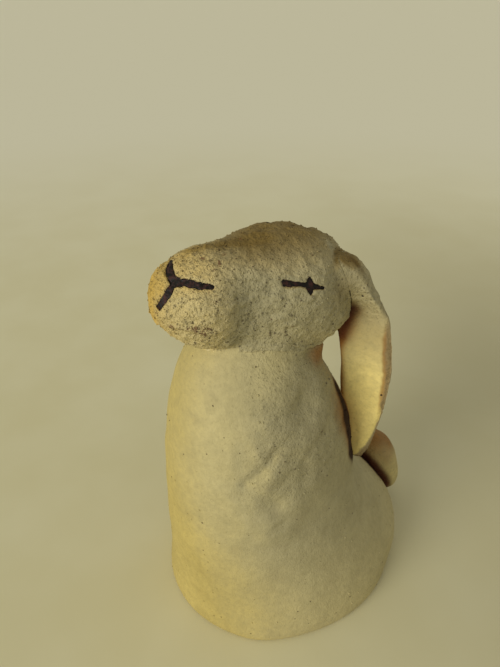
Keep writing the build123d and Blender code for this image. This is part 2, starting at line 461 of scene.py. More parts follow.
def clay_material(name, colours, root_colours=None):
    """Fired stoneware: kiln colours with painted light and shade among them, iron specks, pits, rust, and
    inlay bleeding into the clay.
    """
    material, tree, shader, where = blank_material(name, FIRED_SPECULAR)
    if root_colours:
        root = painted(tree, "root")
        colours = [blend_colour(tree, root, own, other) for own, other in zip(colours, root_colours)]
    flash = place_group(tree, FLASH, Place=where, **dict(zip(KILN_COLOURS, colours)))
    grit = painted(tree, "grit")
    crowded = calc(tree, "MULTIPLY", calc(tree, "MULTIPLY", grit, grit), 0.28)
    small = place_group(tree, SPECKS, Place=where, Spacing=1.4, Share=crowded, Size=0.2)
    large = place_group(tree, SPECKS, Place=where, Spacing=4.2, Share=0.38, Size=0.085)
    specks = calc(tree, "MAXIMUM", small.outputs["Mask"], large.outputs["Mask"])
    relief = place_group(tree, RELIEF, Place=where, Grit=grit, Specks=specks)
    colour = flash.outputs["Colour"]
    for mask, strength in ((relief.outputs["Sand"], 0.22), (relief.outputs["Pits"], 0.4), (specks, 0.65),
                           (painted(tree, "grain_tone"), 0.6)):
        colour = tint(tree, colour, IRON, mask, strength)
    crumbs = noise(tree, where, 0.5, 2.0, 0.5)
    smudge = ramp(tree, plus(tree, painted(tree, "rust"), crumbs, 2.0), 1.40, 1.70)
    colour = tint(tree, colour, RUST, smudge, 0.75)
    spread = plus(tree, painted(tree, "ink"), noise(tree, where, 0.7, 4.0, 0.7), 0.6)
    colour = tint(tree, colour, INK_RED, ramp(tree, spread, 0.7, 1.0), 0.55)
    bleed = ramp(tree, spread, 0.86, 0.98)
    colour = blend_colour(tree, bleed, colour, INK_DARK)
    use(tree, shader, "Base Color", colour)
    matte = ramp(tree, noise(tree, where, 3.0), 0.3, 0.7, 0.8, 0.93)
    use(tree, shader, "Roughness", plus(tree, matte, bleed, -0.3))
    use(tree, shader, "Normal", relief.outputs["Normal"])
    return material


def inlay_material(name, dark, edge, worn):
    """Iron inlay; worn is the share of it that the fire took off, down to the clay's colour."""
    material, tree, shader, where = blank_material(name, FIRED_SPECULAR)
    pool = noise(tree, where, 1.3, 4.0, 0.65)
    colour = blend_colour(tree, ramp(tree, pool, 0.43, 0.68), dark, edge)
    lost = ramp(tree, noise(tree, where, 1.6, 4.0, 0.7), 0.62 - 0.3 * worn, 0.72 - 0.3 * worn)
    lost = calc(tree, "MULTIPLY", lost, worn)
    use(tree, shader, "Base Color", blend_colour(tree, lost, colour, CLAY))
    gloss = ramp(tree, pool, 0.3, 0.7, 0.42, 0.65)
    use(tree, shader, "Roughness", plus(tree, gloss, lost, 0.4))
    height = noise(tree, where, 0.9, 3.0)
    bump = add(tree, "ShaderNodeBump", {"Strength": 0.8, "Distance": 0.25 * MM, "Height": height})
    use(tree, shader, "Normal", bump.outputs[0])
    return material


# Each clay's colours, in the order of KILN_COLOURS; the last, darkest one of each is used mostly for painted
# shade in crevices, recesses and where pieces touch
BODY_COLOURS = (CLAY, linear(187, 168, 98), ASH, linear(152, 104, 48), linear(42, 19, 9))
HEAD_COLOURS = (linear(214, 199, 146), linear(216, 180, 88), ASH, linear(130, 107, 52), linear(62, 34, 19))
EAR_COLOURS = (CLAY, linear(238, 216, 133), linear(156, 136, 94), linear(146, 100, 42), linear(78, 30, 14))
BODY_CLAY = clay_material("body clay", BODY_COLOURS)
HEAD_CLAY = clay_material("head clay", HEAD_COLOURS)
EAR_CLAY = clay_material("ear clay", EAR_COLOURS, HEAD_COLOURS)
DARK_INLAY = inlay_material("dark inlay", linear(14, 9, 10), linear(66, 36, 31), 0.0)
WORN_INLAY = inlay_material("worn inlay", linear(100, 60, 38), linear(134, 92, 54), 1.0)


# Shapes: everything from here to the grog is in millimetres, and a spot is (x, y, z, radius, amount)

BODY_MESH = 0.88
HEAD_MESH = 0.44
THIN_MESH = 0.42
SMEAR_MESH = 0.4
INLAY_MESH = 0.17
BLANK_MESH = 0.8

# Fuller back and rump, the nape, and the foot's outline; on both sides
BODY_SPOTS = (
    (19.0, 9.5, 79.0, 12.0, 2.1), (20.5, 14.5, 63.0, 7.0, 1.0), (5.0, 41.0, 27.0, 14.0, 1.5),
    (12.0, 48.0, 13.0, 10.0, 0.9), (11.0, 4.0, 104.0, 6.0, -0.9), (12.8, 0.3, 111.0, 4.2, 2.8),
    (36.0, 29.0, 3.0, 12.0, -1.2), (31.0, -35.5, 2.0, 12.0, 0.9),
)

# Jaw, muzzle lobes, the hollows behind them and the valley before the ear; on both sides
HEAD_SPOTS = (
    (13.5, 4.0, 117.0, 8.5, 2.2), (13.2, -38.5, 135.0, 6.5, 1.0), (16.5, -27.5, 133.0, 6.0, -2.0),
    (14.5, -29.5, 141.0, 5.0, -1.0), (15.0, -28.0, 125.5, 5.5, -1.0), (18.5, -15.0, 131.0, 8.0, 0.5),
    (9.8, 9.0, 143.0, 3.2, -1.6),
)
HEAD_MIRRORED = 0.9

# Lumps and notch of the crown, the step behind it, and the chin
CROWN_SPOTS = (
    (-7.0, -14.5, 147.5, 7.0, 1.0), (-4.0, -1.0, 148.0, 3.0, 0.7), (-4.0, 3.2, 146.8, 2.8, -1.7),
    (0.0, 7.0, 146.0, 4.0, 0.5), (0.0, 12.0, 141.5, 4.5, 1.1), (4.0, 16.0, 137.5, 3.2, -1.0),
    (6.8, -39.9, 122.0, 6.0, 0.8),
)

# Near ear: directions across it and into its hollow, levels where its width is read and from how far,
# how far its outer edge comes out by height, and spots at its root
EAR_ACROSS = (0.82, 0.57, 0.0)
EAR_INWARD = (0.57, -0.82, 0.0)
EAR_LEVELS = np.arange(58.0, 144.0, 3.0)
EAR_BAND = 3.0
EAR_FULLER = ((58, 61, 65, 73, 82, 90, 98, 106, 114, 122),
              (2.0, 3.3, 4.0, 2.5, 0.9, -0.2, -1.0, -1.1, -0.5, 0.0))
EAR_SPOTS = ((12.0, 13.0, 138.5, 7.0, 1.8), (24.0, 18.0, 120.0, 4.0, 0.4), (10.8, 8.8, 142.5, 3.4, -2.2))

TAIL_SPOTS = ((7.4, 54.8, 10.6, 7.0, 2.2), (3.0, 50.0, 40.0, 6.0, -0.8))

# Ends of the nose's cuts, and places (x, y, z, radius) with the move that sets it over to its side
NOSE_FORK = (3.4, -45.0, 142.9)
NOSE_STEM_END = (2.3, -50.5, 135.6)
NOSE_NEAR_END = (11.3, -37.2, 142.2)
NOSE_FAR_END = (-4.6, -41.6, 144.7)
NOSE_SHIFTS = (
    ((1.0, -46.5, 141.0, 9.0), (-1.5, -0.6, -0.45)), ((2.2, -45.8, 142.3, 5.0), (0.2, 0.2, -1.2)),
    ((-1.2, -44.4, 143.4, 3.4), (-0.9, -1.3, 0.0)), ((8.0, -41.2, 143.0, 4.0), (0.5, -0.3, -1.1)),
)

# Widths along each cut, as shares of the CAD groove, and how far from a cut its edges are moved
STEM_WIDTHS = (1.2, 1.25, 1.2, 0.8)
NEAR_BAR_WIDTHS = (0.6, 1.0, 1.05, 1.05, 0.7)
FAR_BAR_WIDTHS = (1.15, 1.05, 0.6, 0.1)
EYE_WIDTHS = (1.5, 1.3, 0.85, 0.95, 1.4, 0.8, 0.55)
CUT_REACH = 1.9

# How deep the inlays lie under the clay, and the x below which the mouth's inlay has worn away
NOSE_SUNK = 0.2
EYE_SUNK = 0.15
MOUTH_SUNK = 0.05
MOUTH_START = 5.0


def shape_body():
    """Sitting body, fuller over the rump and drawn in under the head."""
    obj = clay_copy("clay_body", "body_wall", BODY_MESH, 4)
    thumb(obj, BODY_SPOTS, 1.0)
    return obj


def shape_head():
    """Head: muzzle lobes with a hollow behind each, full jaw, lumpy crown with a notch and a step."""
    obj = clay_copy("clay_head", "head", HEAD_MESH, 3)
    place_points(obj, taper_cuts(points_of(obj)))
    thumb(obj, HEAD_SPOTS, HEAD_MIRRORED)
    thumb(obj, CROWN_SPOTS)
    return obj


def to_side(rows, side):
    """Rows of the near ear (directions, points or spots) for the ear on a side."""
    return np.array([(x * side, *rest) for x, *rest in rows])


def across_ear(points, side):
    """Offset of each point from the ear's middle line, and half the ear's width there."""
    spread = points @ to_side([EAR_ACROSS], side)[0]
    height = points[:, 2]
    middle = np.zeros(len(EAR_LEVELS))
    half = np.ones(len(EAR_LEVELS))
    for index, level in enumerate(EAR_LEVELS):
        band = spread[np.abs(height - level) < EAR_BAND]
        if len(band):
            middle[index] = (band.max() + band.min()) / 2
            half[index] = (band.max() - band.min()) / 2
    return spread - np.interp(height, EAR_LEVELS, middle), np.interp(height, EAR_LEVELS, half)


def shape_ear(side):
    """Lop ear: a root filled level with the head, a cupped leaf with a bevelled lip, a blunt tip."""
    label = "left" if side > 0 else "right"
    obj = clay_copy(f"clay_ear_{label}", f"ear_{label}", THIN_MESH, 3)
    across, inward = to_side((EAR_ACROSS, EAR_INWARD), side)
    points = points_of(obj)
    height = points[:, 2]
    offset, half = across_ear(points, side)
    front = np.clip(1.6 * (normals_of(obj) @ inward), 0, 1)
    slide = 0.9 * (1 - ease(height, 100, 116))
    slide += np.interp(height, *EAR_FULLER) * np.clip(offset / half, 0, 1)
    lip = ease(offset, half - 2.8, half - 0.4) * (1 - ease(height, 118, 128))
    depth = front * (4.4 * ease(height, 119, 132) - 1.1 * lip)
    points += across * slide[:, None] + (inward + (0, 0, 0.2)) * depth[:, None]
    place_points(obj, points)
    soften(obj, 14, ease(points[:, 2], 108, 122))
    thumb(obj, to_side(EAR_SPOTS, side))
    return obj, offset / half, front


def shape_tail():
    """Upright tab pressed on the back, drawn out downwards."""
    obj = clay_copy("clay_tail", "tail", THIN_MESH, 4)
    thumb(obj, TAIL_SPOTS, 1.0)
    return obj


def eye_ends(node):
    """Front and back end of an eye's slit."""
    corners = points_of(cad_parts[node])
    depth = corners[:, 1]
    front = corners[depth < depth.min() + 1].mean(axis=0)
    back = corners[depth > depth.max() - 1].mean(axis=0)
    return front, back


def cut_line(start, end, widths):
    """A cut over the head's skin: its path, the way it faces, and its widths as shares of the groove."""
    middle = (np.asarray(start) + end) / 2
    near = np.linalg.norm(HEAD_POINTS - middle, axis=1) < 4.5
    normal = HEAD_NORMALS[near].mean(axis=0)
    normal /= np.linalg.norm(normal)
    level = np.percentile((HEAD_POINTS[near] - middle) @ normal, 80)
    return (start, middle + normal * level, end), normal, widths


def taper_cuts(points):
    """Sets the nose over to its side, and draws the edges of the cuts to their ragged widths."""
    for spot, shift in NOSE_SHIFTS:
        points = points + np.array(shift) * pressed(points, ((*spot, 1.0),))[:, None]
    ragged = 1 + lumpy(points, (0.30, 1.4, 61), (0.18, 0.7, 62))
    for path, normal, widths in CUTS:
        share, offset = along_path(points, path)
        offset -= (offset @ normal)[:, None] * normal
        away = np.linalg.norm(offset, axis=1)
        width = np.interp(share, np.linspace(0, 1, len(widths)), widths) * ragged
        points = points - offset * ((1 - width) / (1 + (away / CUT_REACH) ** 4))[:, None]
    return points


def shape_inlay(name, node, sunk, worn_below=None):
    """Inlay in its tapered cut, a little below the clay, and out of sight where x is under worn_below."""
    obj = clay_copy(name, node, INLAY_MESH, 2)
    points = taper_cuts(points_of(obj))
    depth = np.full(len(points), float(sunk))
    if worn_below is not None:
        depth += 0.9 * (1 - ease(points[:, 0], worn_below - 1, worn_below + 1))
    lift = lumpy(points, (0.14, 1.3, 51), (0.07, 0.6, 52)) - depth
    place_points(obj, points + normals_of(obj) * lift[:, None])
    return obj


blank_head = clay_copy("blank_head", "head", BLANK_MESH, 2)
HEAD_POINTS = points_of(blank_head)
HEAD_NORMALS = normals_of(blank_head)
bpy.data.objects.remove(blank_head)
CUTS = [
    cut_line(NOSE_FORK, NOSE_STEM_END, STEM_WIDTHS),
    cut_line(NOSE_FORK, NOSE_NEAR_END, NEAR_BAR_WIDTHS),
    cut_line(NOSE_FORK, NOSE_FAR_END, FAR_BAR_WIDTHS),
    cut_line(*eye_ends("eye_inlay_left"), EYE_WIDTHS),
    cut_line(*eye_ends("eye_inlay_right"), EYE_WIDTHS),
]

body = shape_body()
head = shape_head()
smear = clay_copy("clay_neck_smear", "neck_coil", SMEAR_MESH, 2)
ear_left, left_offset, left_front = shape_ear(1)
ear_right, right_offset, right_front = shape_ear(-1)
tail = shape_tail()
nose = shape_inlay("inlay_nose", "nose_inlay", NOSE_SUNK)
eye_left = shape_inlay("inlay_eye_left", "eye_inlay_left", EYE_SUNK)
eye_right = shape_inlay("inlay_eye_right", "eye_inlay_right", EYE_SUNK)
mouth = shape_inlay("inlay_mouth", "mouth_inlay", MOUTH_SUNK, MOUTH_START)

# Skins as shaped, before the finish, for the joints and the masks to measure from
SHAPED = {"body_wall": body, "head": head, "ear_left": ear_left, "ear_right": ear_right, "tail": tail,
          "nose_inlay": nose, "eye_inlay_left": eye_left, "eye_inlay_right": eye_right, "mouth_inlay": mouth}
SKINS = {node: skin_of(obj) for node, obj in SHAPED.items()}
EARS = ("ear_left", "ear_right")
INKED = ("nose_inlay", "eye_inlay_left", "eye_inlay_right")
ALL_CUTS = (*INKED, "mouth_inlay")


# Joints

# Middle of the head's seat on the neck
NECK_CENTRE = np.array((0.0, -17.5))


def neck_blend(points):
    """Reach of the smear round the neck: crisp under the muzzle, wide at the sides, fuller behind."""
    across = points[:, :2] - NECK_CENTRE
    radius = np.maximum(np.linalg.norm(across, axis=1), 1.0)
    side = across[:, 0] / radius
    behind = np.maximum(across[:, 1] / radius, 0)
    return 1.2 + 6.0 * side ** 4 + 4.0 * behind ** 2


def root_blend(points):
    """Reach of the clay between head and ear: wide over the root, little where the cup opens."""
    return 2.4 + 3.6 * ease(points[:, 2], 125, 136) * (1 - 0.8 * ease(points[:, 2], 138, 142))


def below_jaw(points):
    """Share of the neck below the jaw's hind half, where the body's own skin shows."""
    return ease(points[:, 1], -16, -8) * (1 - ease(points[:, 2], 112.5, 115.5))


# Fired surface

# The near flank: crease, hollows and bulges round it, two scratches; then hollows elsewhere on the body
FLANK_CREASE = ((27.8, -26.0, 89.0), (27.0, -29.5, 84.5), (26.0, -33.0, 80.0), (24.4, -36.0, 77.0))
FLANK_SPOTS = (
    (24.5, -36.0, 79.0, 5.5, -0.7), (28.7, -27.7, 80.5, 4.5, 0.55), (29.4, -27.8, 67.6, 4.2, -1.0),
    (31.9, -21.4, 66.8, 4.5, 0.6), (31.0, -18.0, 82.0, 7.0, -0.5), (34.0, -10.0, 52.0, 10.0, -0.5),
    (26.0, -15.0, 100.0, 5.5, -1.7), (22.0, -23.0, 107.0, 5.0, 0.9),
)
FLANK_SCRATCHES = (((29.9, -28.6, 57.0), (31.9, -23.9, 60.0)), ((29.6, -29.3, 54.6), (31.2, -25.6, 57.0)))
OTHER_SPOTS = (
    (-28.0, -24.0, 76.0, 9.0, -0.8), (-31.0, -12.0, 60.0, 8.0, -0.7), (-26.0, -31.0, 92.0, 6.0, 0.5),
    (10.0, 20.0, 62.0, 9.0, -0.5), (-12.0, 24.0, 55.0, 8.0, 0.5),
)

# Kiln flashing with painted shade on the body: where the near ear rests, with painted contact shadow, and how
# far that spreads by height;
# the nape, toasted and painted with shade; the neck spot given painted light; and the side facing the window,
# creamy with painted yellow light
EAR_REST = ((17.6, 6.9, 94.0), (19.8, 7.7, 88.0), (22.3, 7.8, 82.6), (23.4, 9.2, 75.0), (23.4, 10.0, 69.0),
            (22.3, 12.4, 64.0))
EAR_SHADE_REACH = ((60, 66, 74, 82, 92, 104), (3.0, 4.5, 8.0, 10.0, 9.5, 7.0))
NAPE_TOAST_AND_SHADE = ((12.0, 4.0, 109.0, 6.0, 0.7), (15.8, -3.0, 110.5, 4.5, 0.6))
NECK_PAINTED_LIGHT = ((17.5, -22.0, 113.0, 8.0, 0.8),)
WARM_LIT_SIDE = (-0.55, -0.83, 0.0)

# The head: rusty mouth and crusts, golden snout, streak on the bridge, painted shade in the hollows behind
# the muzzle and under the jaw, brown behind the cheek
MOUTH_LINE = ((5.7, -49.2, 131.2), (8.7, -47.1, 130.9), (12.2, -43.8, 131.6))
MOUTH_SMUDGES = ((12.6, -42.4, 130.6, 3.4, 0.34), (7.5, -48.0, 130.8, 2.2, 0.15))
MOUTH_DABS = (
    (6.1, -48.6, 130.5, 0.6, 0.5), (6.8, -48.6, 131.4, 0.5, 0.4), (6.9, -47.2, 129.7, 0.7, 0.5),
    (8.7, -47.1, 130.9, 0.5, 0.4), (10.6, -45.8, 131.6, 0.5, 0.3), (12.2, -43.8, 131.8, 0.5, 0.4),
    (12.2, -44.2, 131.0, 0.7, 0.5), (11.0, -43.5, 129.2, 0.6, 0.5), (13.5, -42.3, 130.4, 0.8, 0.4),
    (13.4, -42.3, 132.7, 0.5, 0.4), (13.6, -41.4, 131.8, 0.7, 0.4), (13.9, -40.1, 131.1, 0.8, 0.5),
    (13.4, -41.5, 129.5, 0.7, 0.5), (12.9, -39.6, 128.2, 0.6, 0.5), (10.9, -41.8, 126.5, 0.5, 0.4),
)
CRUSTS = (
    (3.4, -36.3, 147.5, 0.9, 0.9), (6.5, -32.5, 146.9, 0.8, 0.7), (7.2, -33.2, 146.1, 0.8, 0.7),
    (8.0, -35.2, 145.7, 0.6, 0.6), (4.6, -29.9, 147.7, 0.8, 0.7), (-0.2, -21.5, 148.8, 0.8, 0.6),
    (13.5, -37.8, 139.0, 1.0, 0.6), (11.6, -38.7, 140.9, 0.7, 0.6), (9.4, -42.6, 141.5, 0.6, 0.5),
    (1.9, -50.2, 135.3, 0.5, 0.8), (2.3, -51.0, 134.2, 0.5, 0.8), (16.8, -21.9, 130.1, 0.6, 0.5),
    (19.2, -16.1, 126.9, 0.8, 0.5), (11.8, -28.7, 121.9, 0.7, 0.6),
)
SNOUT_GOLD = ((-6.0, -48, 138, 8.5, 0.7), (-3.0, -49, 130, 7.0, 0.3))
BRIDGE_STREAK = ((-3, -36, 147), (0.5, -25, 149), (3, -17, 149))
HOLLOW_SHADE = ((14.0, -29.0, 136.0, 8.0, 0.4), (12.0, -31.0, 124.0, 6.0, 0.6))
CHEEK_BROWN = ((17.5, 3.5, 132.5, 7.0, 0.4),)

# Near ear: where its lip begins by height, the recess under the head for its painted shade, the seam above
# it, two dark grains
LIP_LINE = ((57, 60, 63, 67, 71, 82, 93, 104, 114), (22.5, 24.8, 27.0, 29.0, 30.8, 32.5, 33.0, 32.0, 31.0))
EAR_RECESS = ((15.6, 10.8, 122.5), (12.5, 10.0, 112))
EAR_SEAM = ((13.9, 9.2, 141.2), (17.6, 11.0, 137.0))
EAR_SPECKS = ((19.6, 10.9, 129.3, 0.6, 1.0), (25.9, 19.3, 90.7, 0.6, 1.0))


def clay_lumps(points, calm=1.0):
    """Lumpy, pitted skin of the head's gritty clay; calm takes the fine lumps down beside the cuts."""
    fine = lumpy(points, (0.28, 4.2, 12), (0.34, 2.2, 13), (0.22, 1.4, 14))
    fine -= 0.6 * np.clip(lattice_noise(points, 1.7, 15) - 0.5, 0, 1)
    return lumpy(points, (0.30, 9, 11)) - 0.15 + calm * fine


def rough_flank(points):
    """Sandy stretch of the body behind the breast, from neck to half way down; fainter on the far side."""
    x, y, z = points.T
    front = y + 30 + 0.2 * (116 - z)
    return ease(z, 62, 80) * ease(front, -2, 8) * (1 - ease(y, 2, 14)) * (0.35 + 0.65 * ease(x, -10, 10))


def broad_flank(points):
    """Both sides of the body, between the foot and the neck."""
    height = points[:, 2]
    return ease(np.abs(points[:, 0]), 8, 22) * ease(height, 30, 55) * (1 - ease(height, 104, 114))


def body_masks(points, normals):
    """Kiln colours of the body, with painted light and shade: cream in front and low down, partly painted
    yellow light on the side facing the window; grey, partly painted shade, on the side away from it; flashing
    and painted contact shadow by the ears; painted shade in the tail's crevice.
    """
    height = points[:, 2]
    near_side = to_near_side(points)
    # Painted contact shadow along the line where the near ear rests, over kiln flashing; weaker on the far
    # side
    ear_flash_and_shade = np.clip(1.4 * furrow(near_side, EAR_REST, 2.8) + lumpy(points, (0.2, 4, 7)), 0, 1)
    ear_flash_and_shade *= 0.4 + 0.6 * ease(points[:, 0], -6, 6)
    # Under the ears: kiln flashing with painted shade, reaching further from the ear at mid height
    ear_gap = near_to(EARS, points, 20) / np.interp(height, *EAR_SHADE_REACH)
    under_ear_flash_and_shade = ease(height, 58, 72) * (1 - ease(height, 86, 106)) * ease(near_side[:, 0], 8, 18)
    under_ear_flash_and_shade = under_ear_flash_and_shade * (1 - ease(ear_gap + lumpy(points, (0.2, 6, 8)), 0.7, 2.0))
    # Painted shade in the crevice beside the tail, as toast and the darkest colour
    tail_gap = near_to(["tail"], points, 14)
    # Cream on the side facing the window: partly the clay's own, partly painted yellow light
    warm_lit_side = ease(normals @ WARM_LIT_SIDE, 0.3, 1.0)
    breast = ease(-normals[:, 1], 0.2, 1.0)
    low = 1 - ease(height, 15, 80)
    # Grey on the side away from the window: partly painted shade, kept weaker low down where the floor's
    # light reaches
    ash_and_shade = ease(normals[:, 0] + 0.6 * normals[:, 1], 0.0, 0.8) * (0.25 + 0.5 * ease(height, 10, 60))
    toast = 0.75 * under_ear_flash_and_shade + 0.4 * ear_flash_and_shade + 0.6 * (1 - ease(tail_gap, 0.5, 6.0))
    return {
        "cream": 0.65 * warm_lit_side + 0.7 * low * (0.25 + 0.75 * breast) + 0.10 * breast,
        # The side's grey is left off below the jaw: painted light where the head shades the neck
        "ash": ash_and_shade * (1 - pressed(near_side, NECK_PAINTED_LIGHT)),
        # Nape: toasted clay with painted shade where it lies between the ears
        "toast": toast + pressed(near_side, NAPE_TOAST_AND_SHADE),
        "stain": ear_flash_and_shade + 0.25 * under_ear_flash_and_shade + 1 - ease(tail_gap, 0.8, 4.0),
        "grit": 0.08 + 0.24 * rough_flank(points),
    }


def head_masks(points, normals):
    """Kiln colours of the head: golden snout, brown crown, grey cheeks with painted shade in their hollows,
    painted shade where the ears join, rusty mouth, gritty all over.
    """
    top = ease(normals[:, 2], 0.4, 1.05)
    forward = ease(-points[:, 1], 18, 42)
    streak = furrow(points, BRIDGE_STREAK, 3.0)
    # Grey on the sides of the head, partly painted shade; less where it faces down, as painted light from the
    # floor
    cheek = (1 - forward) * (1 - top) * (0.4 + 0.6 * ease(normals[:, 2], -0.9, 0.0))
    behind = pressed(points, CHEEK_BROWN, 1.0)
    return {
        "cream": pressed(points, SNOUT_GOLD) + 0.26 * forward + 0.25 * forward * top + 0.4 * streak,
        "ash": 0.75 * cheek + pressed(to_near_side(points), HOLLOW_SHADE),
        "toast": 0.85 * top * (1 - 0.85 * forward) + 0.3 * streak + behind,
        # Darker where the ears join the head: painted shade
        "stain": 0.12 * np.exp(-near_to(EARS, points, 10)) + 0.3 * behind,
        "grit": 0.50 + 0.45 * forward,
        "ink": np.exp(-near_to(INKED, points, 4) / 0.45),
        "rust": 0.4 * furrow(points, MOUTH_LINE, 0.7) + pressed(points, MOUTH_SMUDGES + MOUTH_DABS + CRUSTS),
    }


def finish_body(obj):
    """Thumbed lumps, the crease and hollows on the near flank, scratches, kiln colours."""
    run_into(obj, SKINS["head"], neck_blend(points_of(obj)))
    points = points_of(obj)
    lift = lumpy(points, (0.35, 19, 3), (0.20, 8, 4), (0.04, 3.4, 5)) - 0.2
    lift += rough_flank(points) * lumpy(points, (0.30, 3.4, 5), (0.16, 2.0, 6))
    lift += broad_flank(points) * lumpy(points, (0.34, 6.0, 9))
    lift += pressed(points, FLANK_SPOTS + OTHER_SPOTS) - 0.8 * furrow(points, FLANK_CREASE, 1.9)
    for path in FLANK_SCRATCHES:
        lift -= 0.3 * furrow(points, path, 0.7)
    smeared = 1 - ease(gap_to(SKINS["head"], points, 10), 0.3, 0.5 + 0.9 * neck_blend(points))
    lift += smeared * (1 - below_jaw(points)) * (clay_lumps(points) - lift)
    lift *= np.clip(points[:, 2] / 4, 0, 1)
    raise_skin(obj, lift)
    paint(obj, body_masks(points_of(obj), normals_of(obj)))


def finish_head(obj):
    """Gritty, pitted skin that runs into ears and neck."""
    for ear in EARS:
        run_into(obj, SKINS[ear], root_blend(points_of(obj)))
    run_into(obj, SKINS["body_wall"], neck_blend(points_of(obj)))
    points = points_of(obj)
    normals = normals_of(obj)
    raise_skin(obj, clay_lumps(points, np.clip(near_to(ALL_CUTS, points, 3) / 1.5, 0.1, 1)))
    paint(obj, head_masks(points_of(obj), normals))


def border_share(points, across):
    """How near each point is to a border of the smear: 0 on its middle line, 1 at a border."""
    turn = np.arctan2(*(points[:, :2] - NECK_CENTRE).T)
    stations = np.linspace(-math.pi, math.pi, 49)
    upper = np.empty(len(stations))
    lower = np.empty(len(stations))
    for index, station in enumerate(stations):
        near = np.cos(turn - station) > math.cos(0.12)
        lower[index], upper[index] = np.percentile(across[near], (3, 97))
    high = np.interp(turn, stations, upper)
    low = np.interp(turn, stations, lower)
    return np.abs(2 * (across - low) / (high - low) - 1)


def finish_smear(obj):
    """Clay smeared over the seam of head and neck: proud in its middle, its borders under both skins."""
    points = points_of(obj)
    blend = neck_blend(points)
    seam = gap_to(SKINS["head"], points, 12) - gap_to(SKINS["body_wall"], points, 12)
    border = border_share(points, seam) + lumpy(points, (0.15, 4, 21))
    aim = 0.12 - 0.55 * np.clip(border, 0, 1.2) ** 3
    aim -= 0.6 * (1 - ease(blend, 1.5, 3.5)) + 0.9 * below_jaw(points)
    for _ in range(6):
        to_head, from_head = gap_and_slope(SKINS["head"], points, 10)
        to_body, from_body = gap_and_slope(SKINS["body_wall"], points, 10)
        lean = np.clip(0.5 + (to_body - to_head) / (2 * blend), 0, 1)[:, None]
        slope = lean * from_head + (1 - lean) * from_body
        slope /= np.maximum(np.linalg.norm(slope, axis=1), 1e-6)[:, None]
        level = np.minimum(to_head, to_body) - fillet(to_head, to_body, blend)
        points = points + slope * np.where(level > -1.1, np.clip(aim - level, -1, 1), 0)[:, None]
    place_points(obj, points)
    normals = normals_of(obj)
    lift = clay_lumps(points) * (1 - below_jaw(points))
    place_points(obj, points + normals * lift[:, None])
    points = points_of(obj)
    share = np.clip(1.1 + (to_body - to_head) / (2 * blend), 0, 1) * (1 - below_jaw(points))
    of_head = head_masks(points, normals)
    of_body = body_masks(points, normals)
    paint(obj, {name: share * of_head[name] + (1 - share) * of_body.get(name, 0) for name in of_head})


def finish_ear(obj, offset, front, side):
    """Creamy cup with painted light towards the foot, grey lip with a toasted line inside it, painted shade
    in the recess under the head and where it lies by the body.
    """
    run_into(obj, SKINS["head"], root_blend(points_of(obj)))
    points = points_of(obj)
    normals = normals_of(obj)
    root = ease(points[:, 2], 112, 130)
    lift = lumpy(points, (0.20, 7, 31 + side), (0.12, 2.6, 33 + side), (0.05, 1.2, 35 + side)) - 0.08
    raise_skin(obj, lift + root * (clay_lumps(points) - lift))
    points = points_of(obj)
    height = points[:, 2]
    body_gap = near_to(["body_wall"], points, 10)
    cup = front * (1 - root)
    past_lip = points @ to_side([EAR_ACROSS], side)[0] - np.interp(height, *LIP_LINE)
    past_lip += lumpy(points, (0.7, 5, 37), (0.5, 1.8, 38))
    lip = np.exp(-((past_lip + 0.1) / 0.9) ** 2) * cup * ease(height, 74, 92)
    rim = np.clip(ease(past_lip, -0.3, 0.9) + 1 - front, 0, 1)
    # Painted shade in the recess under the head
    recess = furrow(points, to_side(EAR_RECESS, side), 4.4)
    seam = furrow(points, to_side(EAR_SEAM, side), 1.1)
    seam += 0.7 * root * np.exp(-near_to(["head"], points, 4) / 0.6)
    low_edge = ease(-offset, 0.3, 0.9) * (1 - ease(height, 70, 92))
    inner_edge = 0.65 * ease(-offset, 0.6, 1.0) + 0.6 * low_edge
    # Cream stronger towards the foot: painted light where the body shades the ear
    own = {
        "cream": cup * (1 - rim) * (0.42 + 0.58 * ease(-height, -112, -76)),
        "ash": 0.85 * rim + 0.45 * cup * ease(height, 92, 116),
        # Toast and the darkest colour near the body: painted shade where the ear lies against it
        "toast": 0.65 * lip + 0.3 * (1 - ease(body_gap, 0.5, 7)) + cup * inner_edge,
        "stain": (1 - ease(body_gap, 0.3, 3.0)) * (1 - front),
        "grit": 0.12 + 0.3 * rim,
    }
    of_head = head_masks(points, normals)
    masks = {name: root * of_head[name] + (1 - root) * own.get(name, 0) for name in of_head}
    # The recess's share of these is painted shade: browner and darker
    masks["toast"] += 0.8 * recess + 0.4 * seam
    masks["stain"] += 0.8 * recess ** 2 + 0.35 * seam
    masks["root"] = root
    if side > 0:
        masks["ink"] += pressed(points, EAR_SPECKS)
    paint(obj, masks)


def finish_tail(obj):
    """Toasted above, paler and creamy low down, with painted shade in the crevice by the body."""
    raise_skin(obj, lumpy(points_of(obj), (0.40, 9, 41), (0.18, 3.5, 42)) - 0.3)
    points = points_of(obj)
    # Painted shade in the crevice where the tail meets the body
    body_gap = near_to(["body_wall"], points, 16)
    above = ease(points[:, 2] + lumpy(points, (3, 6, 43)), 20, 44)
    paint(obj, {
        "cream": 0.35 * (1 - above),
        "ash": 0.15 * (1 - above),
        "toast": 0.05 + 0.8 * above,
        "stain": 0.9 - 0.9 * ease(body_gap, 1.0, 5.5),
        "grit": np.full(len(points), 0.25),
    })


finish_body(body)
finish_head(head)
finish_smear(smear)
finish_ear(ear_left, left_offset, left_front, 1)
finish_ear(ear_right, right_offset, right_front, -1)
finish_tail(tail)


# Grog: grains that stand out of the clay

# Sockets of a Random Value node: its limits for vectors and numbers, and its results
VECTOR_LEAST = 0
VECTOR_MOST = 1
NUMBER_LEAST = 2
NUMBER_MOST = 3
NUMBER_RESULT = 1
CHOICE_RESULT = 3

# Limits of a grain's stretch on its axes
LEAST_STRETCH = (0.6, 0.6, 0.6)
MOST_STRETCH = (1.3, 1.3, 1.0)


